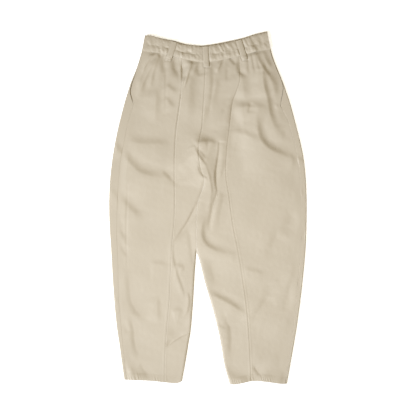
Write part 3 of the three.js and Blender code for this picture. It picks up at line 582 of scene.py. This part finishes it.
def hem_gathers(x, up_hem):
    """Short uneven gathers drawn up by the hem stitching, least by the inseams."""
    pull = 0.35 + 0.65 * ease((np.abs(x - BETWEEN_LEGS_X) - CALM_HEM) / 34) + 0.25 * np.sin(x / 12)
    slanted = x + 0.3 * up_hem
    rib = np.sin(slanted * 2 * math.pi / 7.4 + 2.2 * np.sin(slanted / 13) + np.sin(slanted / 4.3))
    tall = 0.26 + 0.24 * np.sin(slanted / 8.7 + 1.7 * np.sin(slanted / 21))
    reach = 8.5 + 4 * np.sin(slanted / 6.1 + 2)
    return pull * (rib * tall * bell((up_hem - 5) / reach) + 1.5 * ease(1 - up_hem / 22))


def loop_line(loop):
    """How high up the cloth a belt loop's foot and head are, and its slant."""
    foot_y = float(band_foot(loop.foot))
    head_y = float(band_top(loop.head))
    return foot_y, head_y, (loop.head - loop.foot) / (head_y - foot_y)


def groove_round_loops(x, y):
    """Depth of the groove pressed round the lower end of each belt loop."""
    total = np.zeros_like(x)
    for loop in LOOPS:
        foot_y, _, slant = loop_line(loop)
        aside = np.maximum(np.abs(x - loop.foot - (y - foot_y) * slant) - LOOP_WIDE / 2, 0)
        under = np.maximum(foot_y - loop.below - y, 0)
        total += 1.1 * bell((np.hypot(aside, under) - 1.4) / 1.6)
    return total


def front_height(x, y, side, from_inner):
    """Top of the front panel above the surface."""
    from_side = OUTWARD[side] * (side_seam[side](y) - x)
    below_band = band_foot(x) - y
    z = LAY + 0.4 * broad_swell(x, y) + 0.05 * small_crumple(x, y)
    z += all_folds(FRONT_FOLDS, x, y)
    z += gathers_below_band(x, below_band) + fullness_below_band(x, below_band)
    z -= groove_round_loops(x, y)

    side_z = FOLD_ACROSS + 0.9 * ease((y - SIDE_LIFTS_Y) / 24)
    settles = mix(17, 22, ease((y - NARROW_SIDE_Y) / 60))
    z = mix(side_z, z, ease(from_side / settles))
    z = mix(z, np.minimum(z, HIGHEST_AT_BAND), ease((11 - below_band) / 14))

    over_pocket = ease((y - 250) / 20) * (1 - ease((from_side - 62) / 20))
    low = mix(LOWEST, LOWEST_OVER_POCKET, over_pocket)
    z = low + np.logaddexp(0, (z - low) * 2.2) / 2.2

    apart = ease((LEGS_PART_Y + 13 - y) / 17)
    round_edge = np.sqrt(1 - (1 - np.clip(from_inner / 7, 0, 1)) ** 2)
    z = mix(z, INSEAM_Z + (z - INSEAM_Z) * round_edge, apart)
    centre_ditch = mix(0.25, 0.5, ease((y - CROTCH_Y) / 20)) * np.exp(-from_inner / 1.2)
    return z - (1 - apart) * centre_ditch


# ---------------------------------------------------------------- shapes of the pieces
# Each gives place(u, v), in millimetres, with u from left to right and v from the waist down.


def front_edges(side, part):
    """The left and right edge lines of a front panel."""
    out = OUTWARD[side]
    inner = inner_edge(side)

    def opening(y):
        return side_seam[side](y) - out * pocket_opening(side, y)

    def lapped(y):
        return front_seam[side](y) + out * SEAM_LAP

    def middle(y):
        tuck = SEAM_TUCK * ease((y - CROTCH_Y - 6) / 12) if side == "left" else 0
        return inner(y) + out * GAP / 2 + tuck

    edges = (opening, front_seam[side]) if part == "side" else (lapped, middle)
    return edges if side == "left" else edges[::-1]


def front_panel(side, part):
    out = OUTWARD[side]
    inner = inner_edge(side)
    left, right = front_edges(side, part)

    def place(u, v):
        x = mix(crossing(left, side, v), crossing(right, side, v), u)
        y = row_y(x, side, v)
        from_inner = -out * (inner(y) - x)
        z = front_height(x, y, side, np.abs(from_inner))
        if side == "left":
            tucked = ease((1.2 - from_inner) / 1.6) * (from_inner < 1.2)
            z -= UNDER_CENTRE * tucked * ease((y - CROTCH_Y) / 12)
        past_seam = out * (x - front_seam[side](y))
        z += seam_rise[side](y) * (1 - ease((np.abs(past_seam) - 4) / 2.5))
        z -= seam_ditch[side](y) * bell(np.abs(past_seam) / 1.8)
        if part == "inner":
            z -= UNDER_FRONT * ease((1.2 + past_seam) / 1.2)
        up_hem = y - hem[side](x)
        z += HEM_RISE * (1 - ease((up_hem - HEM_DEPTH) / 1.6))
        z -= HEM_LINE * bell((up_hem - HEM_DEPTH + 1.5) / 0.9)
        return x, y, z + hem_gathers(x, up_hem)

    return place


def back_panel(side):
    """Flat underneath, round the outer fold, and a strip on top up to the side seam."""
    out = OUTWARD[side]
    inner = inner_edge(side)
    radius = FOLD_ACROSS / 2

    def place(u, v):
        s = u if side == "left" else 1 - u
        start = crossing(inner, side, v) + out * GAP / 2
        turn = crossing(outer[side], side, v) - out * radius
        seam = crossing(side_seam[side], side, v)
        seam = seam - out * SEAM_TUCK * (1 - beside_pocket(row_y(seam, side, v)))
        flat = np.clip(s / TURNS_AT, 0, 1)
        bend = np.clip((s - TURNS_AT) / (ON_TOP_AT - TURNS_AT), 0, 1)
        strip = np.clip((s - ON_TOP_AT) / (1 - ON_TOP_AT), 0, 1)
        angle = -math.pi / 2 + bend * math.pi
        x = mix(start, turn, flat) + out * radius * np.cos(angle) * (s > TURNS_AT)
        x = np.where(s > ON_TOP_AT, mix(turn, seam, strip), x)
        y = row_y(x, side, v)
        z = radius + radius * np.sin(angle)

        rise = 0.25 * np.clip(small_crumple(x + 40, y), 0, 2) - all_folds(BACK_FOLDS, x, y)
        z = z + (s < TURNS_AT) * np.clip(rise, 0, 2.2) * ease((TURNS_AT - s) / 0.05)
        ripple = np.clip(all_folds(STRIP_FOLDS, x, y), -0.6, 2) * ease((1 - strip) * strip * 6)
        under_front = ease((out * (side_seam[side](y) - x) + 0.6) / 1.2)
        return x, y, z + np.where(s > ON_TOP_AT, ripple - UNDER_FRONT * under_front, 0)

    return place


def band_point(u, up, over):
    """Place in the waistband's outline, whose upper edge is raised by over."""
    left_y, right_y = BAND_FOOT_ENDS_Y
    foot = mix(outer["left"](left_y) + 0.5, outer["right"](right_y) - 0.5, u)
    x = mix(foot, mix(*BAND_HEAD_ENDS, u), up)
    return x, mix(band_foot(x) + GAP / 2, band_top(x) + over, up)


def under_loop(x, up):
    """One where a belt loop presses the band flat."""
    pressed = np.zeros_like(x)
    for loop in LOOPS:
        middle = mix(loop.foot, loop.head, up)
        pressed = np.maximum(pressed, 1 - ease((np.abs(x - middle) - LOOP_WIDE * 0.5) / 4))
    return pressed


def band_height(x, y, up, pressed):
    """Rise of the gathered band over its plain inside."""
    gathered = gathered_part(x, 14)
    groove = BAND_GROOVE + 0.025 * np.sin(x / 21) + 0.02 * np.sin(x / 8.3 + 1)
    lower = up < groove
    row = np.clip(np.where(lower, up / groove, (up - groove) / (1 - groove)), 0, 1)
    puff = 1 - np.abs(2 * row - 1) ** np.where(lower, 2.0, 2.6)
    between = np.where(lower, ease(2 * row - 1), ease(1 - 2 * row))
    puff = mix(puff, 0.85, 0.9 * between * ease(0.55 + 0.9 * np.sin(x / 8 + 2 * np.sin(x / 19))))
    lean = mix(0.06, 0.48, ease((x + 10) / 40)) * (up - 0.5) * BAND_DEEP
    ribs = np.where(lower, 1.25 * lower_gathers(x + 0.5 * lean, row), upper_gathers(x + lean, row))
    depth = mix(1.25, 1.55, ease(x / 40))
    full = gathered * puff * (0.9 + depth * ribs) + (1 - gathered) * 0.8 * puff
    full = full + all_folds(BAND_FOLDS, x, y)
    for loop in LOOPS:
        beside = mix(loop.foot, loop.head, up) + LOOP_WIDE / 2 + 1.6
        full = full - 1.3 * bell((x - beside) / 1.7)
    return mix(full, 0.5 * puff, pressed) + 0.05 * tiny_crumple(x, up * 44)


def band_front(u, v):
    up = 1 - v
    x, y = band_point(u, up, 0.0)
    z = BAND_FRONT_Z + 1.2 + band_height(x, y, up, under_loop(x, up))
    z -= mix(0.4, 1.5, ease((x + 108) / 30)) * np.exp(-(v * BAND_DEEP) / 1.8)
    y = y + 0.6 * ease((up - 0.8) / 0.2) * np.sin(x * 0.66 + 1.5 * np.sin(x / 9))
    y = y + 0.8 * ease((up - 0.7) / 0.3) * np.sin(x / 13 + 2 * np.sin(x / 31))
    return x, y, z


def band_back(u, v):
    up = 1 - v
    x, _ = band_point(1 - u, up, 0.0)
    x, y = band_point(1 - u, up, back_stands_over(x))
    rise = band_height(-x, y, up, under_loop(x, up))
    z = BAND_BACK_Z + 1.5 - 0.45 * np.clip(rise, 0, 3.3)
    return x, y, np.clip(z, 0.3, None)


def loop_reach(face, loop):
    """How far below the band's foot a belt loop starts, and how long it is."""
    foot_y, head_y, _ = loop_line(loop)
    below = loop.below if face == "front" else BACK_LOOP_BELOW
    return below, head_y - 1.5 - (foot_y - below)


def belt_loop(face, loop):
    foot_y, _, slant = loop_line(loop)
    below, reach = loop_reach(face, loop)

    def place(u, v):
        rise = -below + reach * (1 - v)
        share = u - 0.5 if face == "front" else 0.5 - u
        x = loop.foot + rise * slant + share * LOOP_WIDE
        y = foot_y + rise - share * LOOP_WIDE * slant
        edge = LOOP_WIDE * (0.5 - np.abs(share))
        round_edge = 0.9 * np.exp(-edge / 0.8)
        stitched = 0.35 * bell((edge - 2.4) / 0.8)
        if face == "back":
            return x, y, 0.05 + 0.5 * round_edge + 0.5 * stitched
        panel = "left" if loop.foot < 0 else "right"
        lies_on = front_height(x, y, panel, np.full_like(x, FAR_FROM_INNER))
        on_panel = lies_on + 2.1 + 0.09 * (rise + below)
        top = mix(on_panel, BAND_FRONT_Z + 3.1, ease((rise + 6) / 8))
        crown = 0.35 * np.sin(math.pi * np.clip(rise / 40, 0, 1))
        tack = 0.35 * bell((rise + below - 4) / 1.2)
        return x, y, top - round_edge - stitched + crown - tack

    return place


def pocket_bag(side):
    foot, head = POCKET_BAG

    def place(u, v):
        y = mix(head, foot, v)
        s = u if side == "left" else 1 - u
        deep = mix(46, 58, np.sin(math.pi * v))
        x = side_seam[side](y) - OUTWARD[side] * (1 + s * deep)
        return x, y, POCKET_Z + 0.12 * small_crumple(x, y)

    return place


# ---------------------------------------------------------------- mesh helpers


def deselect_all():
    bpy.ops.object.select_all(action="DESELECT")


def cloth_grid(name, across, down, place):
    """A flat grid laid out by place(u, v)."""
    deselect_all()
    bpy.ops.mesh.primitive_grid_add(x_subdivisions=across, y_subdivisions=down, size=1,
                                    location=(0, 0, 0))
    piece = bpy.context.object
    piece.name = name
    piece.data.name = name
    mesh = piece.data
    co = np.empty(len(mesh.vertices) * 3)
    mesh.vertices.foreach_get("co", co)
    co = co.reshape(-1, 3)
    x, y, z = place(np.round(co[:, 0] + 0.5, 7), np.round(0.5 - co[:, 1], 7))
    mesh.vertices.foreach_set("co", np.column_stack([x, y, z]).ravel() * MM)
    mesh.update()
    return piece


def plan_area(piece):
    """Area of the sheet before it gets its thickness, in square metres."""
    mesh = piece.data
    area = np.empty(len(mesh.polygons))
    mesh.polygons.foreach_get("area", area)
    return float(area.sum())


def thicken(piece, millimetres):
    deselect_all()
    piece.select_set(True)
    bpy.context.view_layer.objects.active = piece
    wall = piece.modifiers.new("Cloth", "SOLIDIFY")
    wall.thickness = millimetres * MM
    wall.offset = -1
    wall.use_even_offset = False
    bpy.ops.object.modifier_apply(modifier=wall.name)
    bpy.ops.object.shade_smooth_by_angle(angle=math.radians(SMOOTH_BELOW))


def dress(piece, material, node):
    piece.data.materials.clear()
    piece.data.materials.append(material)
    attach(piece, "root")
    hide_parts(node)


def flat_size(node, extra=0.0):
    """Width and length of a solid in metres, the width with something more."""
    low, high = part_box(node)
    return [high[0] - low[0] + extra, high[1] - low[1]]


def lay(node, grid, place, thickness, material, let_out=1.0):
    """Lay a sheet in the place of a solid."""
    piece = cloth_grid(f"{node}_cloth", *grid, place)
    area = plan_area(piece) * let_out
    thicken(piece, thickness)
    dress(piece, material, node)


# ---------------------------------------------------------------- materials


def cloth_material(name, colour, weave_mm, rough):
    """Fine crepe: a close weave, a faintly uneven tone and a soft sheen."""
    material = bpy.data.materials.new(name)
    material.use_nodes = True
    nodes, links = material.node_tree.nodes, material.node_tree.links
    shader = nodes["Principled BSDF"]
    shader.inputs["Roughness"].default_value = rough
    shader.inputs["Sheen Weight"].default_value = 0.15
    shader.inputs["Sheen Roughness"].default_value = 0.5
    shader.inputs["Specular IOR Level"].default_value = 0.35
    place = nodes.new("ShaderNodeTexCoord")
    cloud = nodes.new("ShaderNodeTexNoise")
    cloud.inputs["Scale"].default_value = 9
    cloud.inputs["Detail"].default_value = 4
    links.new(place.outputs["Object"], cloud.inputs["Vector"])
    tone = nodes.new("ShaderNodeMix")
    tone.data_type = "RGBA"
    tone.inputs["A"].default_value = (*[c * (1 - UNEVEN_TONE) for c in colour], 1)
    tone.inputs["B"].default_value = (*[min(1, c * (1 + UNEVEN_TONE)) for c in colour], 1)
    links.new(cloud.outputs["Fac"], tone.inputs["Factor"])
    links.new(tone.outputs["Result"], shader.inputs["Base Color"])
    heights = []
    for axis in ("X", "Y"):
        thread = nodes.new("ShaderNodeTexWave")
        thread.bands_direction = axis
        thread.inputs["Scale"].default_value = math.pi / (10 * weave_mm * MM)
        thread.inputs["Distortion"].default_value = 1.2
        thread.inputs["Detail"].default_value = 1
        links.new(place.outputs["Object"], thread.inputs["Vector"])
        heights.append(thread.outputs["Fac"])
    weave = nodes.new("ShaderNodeMath")
    weave.operation = "MULTIPLY"
    links.new(heights[0], weave.inputs[0])
    links.new(heights[1], weave.inputs[1])
    bump = nodes.new("ShaderNodeBump")
    bump.inputs["Strength"].default_value = 0.04
    bump.inputs["Distance"].default_value = 0.0001
    links.new(weave.outputs[0], bump.inputs["Height"])
    links.new(bump.outputs["Normal"], shader.inputs["Normal"])
    return material


def floor_material():
    material = bpy.data.materials.new("pale_floor")
    material.use_nodes = True
    shader = material.node_tree.nodes["Principled BSDF"]
    shader.inputs["Base Color"].default_value = (0.95, 0.95, 0.95, 1)
    shader.inputs["Roughness"].default_value = 0.9
    shader.inputs["Emission Color"].default_value = (1, 1, 1, 1)
    shader.inputs["Emission Strength"].default_value = FLOOR_GLOW
    return material


def ivory_cloth():
    sizes = bpy.context.scene.trouser_cloth
    name = "ivory_crepe"
    return bpy.data.materials.get(name) or cloth_material(
        name, sizes.colour, sizes.weave, sizes.roughness)


def pocket_cloth_painted_shade():
    sizes = bpy.context.scene.trouser_cloth
    name = "pocket_poplin_painted_shade"
    # The trousers' colour tinted warmer: painted warm shade inside the pocket slits, on the bags'
    # own cloth.
    return bpy.data.materials.get(name) or cloth_material(
        name, [c * k for c, k in zip(sizes.colour, POCKET_SHADE_TINT)], sizes.weave, 0.8)


# ---------------------------------------------------------------- settings


class TrouserCloth(bpy.types.PropertyGroup):
    """Cloth of the trousers"""

    colour: bpy.props.FloatVectorProperty(
        name="Colour", description="Colour of the cloth", subtype="COLOR", size=3,
        default=(0.521, 0.464, 0.365), min=0, max=1)
    thickness: bpy.props.FloatProperty(
        name="Thickness", description="Thickness of one layer in millimetres",
        default=0.6, min=0.3, max=1.2)
    weave: bpy.props.FloatProperty(
        name="Weave", description="Width of a thread in millimetres", default=0.5, min=0.2, max=2)
    roughness: bpy.props.FloatProperty(
        name="Roughness", description="How dull the cloth is", default=0.55, min=0, max=1,
        subtype="FACTOR")
    fineness: bpy.props.FloatProperty(
        name="Fineness", description="Distance between mesh lines in millimetres",
        default=2.4, min=1.5, max=8)


class TrouserStage(bpy.types.PropertyGroup):
    """Floor, light and camera"""

    width: bpy.props.FloatProperty(
        name="Framed width", description="Width that the camera frames",
        default=1.1785, unit="LENGTH")
    distance: bpy.props.FloatProperty(
        name="Camera height", description="Height of the camera over the floor",
        default=4.0, unit="LENGTH")
    key: bpy.props.FloatProperty(
        name="Key light", description="Power of the key light", default=702.0, min=0, unit="POWER")
    top: bpy.props.FloatProperty(
        name="Top light", description="Power of the light overhead", default=5.3, min=0,
        unit="POWER")
    fill: bpy.props.FloatProperty(
        name="Fill", description="Strength of the light from all round", default=0.24, min=0)


# ---------------------------------------------------------------- operators


def disc_light(name, place, size, power):
    bpy.ops.object.light_add(type="AREA", location=place)
    lamp = bpy.context.object
    lamp.name = name
    lamp.data.shape = "DISK"
    lamp.data.size = size
    lamp.data.energy = power
    return lamp


class TROUSERS_OT_stage(bpy.types.Operator):
    """Set the floor, the light and the camera"""

    bl_idname = "trousers.stage"
    bl_label = "Stage"

    def execute(self, context):
        stage = context.scene.trouser_stage
        deselect_all()
        bpy.ops.mesh.primitive_plane_add(size=FLOOR_SIZE, location=(0, 0, FLOOR_Z))
        floor = context.object
        floor.name = "floor"
        floor.data.materials.append(floor_material())

        world = bpy.data.worlds.new("studio")
        context.scene.world = world
        world.use_nodes = True
        background = world.node_tree.nodes["Background"]
        background.inputs["Color"].default_value = (*FILL_COLOUR, 1)
        background.inputs["Strength"].default_value = stage.fill

        toward = Vector(KEY_TOWARD).normalized()
        key = disc_light("key_light", toward * KEY_DISTANCE, KEY_SIZE, stage.key)
        key.data.color = KEY_COLOUR
        key.rotation_euler = (-toward).to_track_quat("-Z", "Y").to_euler()
        top = disc_light("top_light", TOP_PLACE, TOP_SIZE, stage.top)
        top.visible_camera = False

        bpy.ops.object.camera_add(location=(*CAMERA_OVER, stage.distance))
        camera = context.object
        camera.name = "camera_above"
        camera.data.sensor_width = SENSOR
        camera.data.lens = SENSOR * stage.distance / stage.width
        context.scene.camera = camera
        context.scene.view_settings.view_transform = "Standard"
        return {"FINISHED"}


class TROUSERS_OT_front_panels(bpy.types.Operator):
    """Lay the four front panels with their folds"""

    bl_idname = "trousers.front_panels"
    bl_label = "Front panels"

    def execute(self, context):
        cloth = context.scene.trouser_cloth
        for side in SIDES:
            for part, fills in FRONT_FILLS.items():
                node = f"front_{part}_{side}"
                flat = flat_size(node)
                across = int(flat[0] / MM * fills / cloth.fineness * FINER_ACROSS)
                grid = (across, int(PANEL_LONG / cloth.fineness))
                lay(node, grid, front_panel(side, part), cloth.thickness, ivory_cloth())
        return {"FINISHED"}


class TROUSERS_OT_back_panels(bpy.types.Operator):
    """Lay the back panels, each round the outer fold up to the side seam"""

    bl_idname = "trousers.back_panels"
    bl_label = "Back panels"

    def execute(self, context):
        cloth = context.scene.trouser_cloth
        step = cloth.fineness * COARSER_BACK
        grid = (int(BACK_ROUND / step), int(PANEL_LONG / step))
        for side in SIDES:
            node = f"back_{side}"
            lay(node, grid, back_panel(side), cloth.thickness, ivory_cloth())
        return {"FINISHED"}


class TROUSERS_OT_waistband(bpy.types.Operator):
    """Gather the front and the back of the waistband"""

    bl_idname = "trousers.waistband"
    bl_label = "Waistband"

    def execute(self, context):
        cloth = context.scene.trouser_cloth
        for node, place, thickness in (
            ("waistband_front", band_front, cloth.thickness),
            ("waistband_back", band_back, BAND_BACK_CLOTH),
        ):
            lay(node, BAND_GRID, place, thickness, ivory_cloth(),
                let_out=BAND_LET_OUT)
        return {"FINISHED"}


class TROUSERS_OT_belt_loops(bpy.types.Operator):
    """Sew the belt loops over the waistband"""

    bl_idname = "trousers.belt_loops"
    bl_label = "Belt loops"

    def execute(self, context):
        for face in ("front", "back"):
            for loop in LOOPS:
                _, reach = loop_reach(face, loop)
                lay(f"loop_{face}_{loop.name}", LOOP_GRID, belt_loop(face, loop), LOOP_CLOTH,
                    ivory_cloth())
        return {"FINISHED"}


class TROUSERS_OT_pockets(bpy.types.Operator):
    """Put the pocket bags behind their openings"""

    bl_idname = "trousers.pockets"
    bl_label = "Pocket bags"

    def execute(self, context):
        for side in SIDES:
            node = f"pocket_{side}"
            lay(node, POCKET_GRID, pocket_bag(side), POCKET_CLOTH, pocket_cloth_painted_shade())
        return {"FINISHED"}


class TROUSERS_PT_panel(bpy.types.Panel):
    """Steps that build the trousers"""

    bl_idname = "TROUSERS_PT_panel"
    bl_label = "Trousers"
    bl_space_type = "VIEW_3D"
    bl_region_type = "UI"
    bl_category = "Trousers"

    def draw(self, context):
        layout = self.layout
        for settings in (context.scene.trouser_cloth, context.scene.trouser_stage):
            for key in settings.__annotations__:
                layout.prop(settings, key)
        for step in STEPS:
            layout.operator(step.bl_idname)


STEPS = (
    TROUSERS_OT_stage,
    TROUSERS_OT_front_panels,
    TROUSERS_OT_back_panels,
    TROUSERS_OT_waistband,
    TROUSERS_OT_belt_loops,
    TROUSERS_OT_pockets,
)
CLASSES = (TrouserCloth, TrouserStage, *STEPS, TROUSERS_PT_panel)


def register():
    for cls in CLASSES:
        bpy.utils.register_class(cls)
    bpy.types.Scene.trouser_cloth = bpy.props.PointerProperty(type=TrouserCloth)
    bpy.types.Scene.trouser_stage = bpy.props.PointerProperty(type=TrouserStage)


def unregister():
    del bpy.types.Scene.trouser_stage
    del bpy.types.Scene.trouser_cloth
    for cls in reversed(CLASSES):
        bpy.utils.unregister_class(cls)


def main():
    register()
    bpy.ops.trousers.stage()
    bpy.ops.trousers.front_panels()
    bpy.ops.trousers.back_panels()
    bpy.ops.trousers.waistband()
    bpy.ops.trousers.belt_loops()
    bpy.ops.trousers.pockets()


if __name__ == "__main__":
    main()
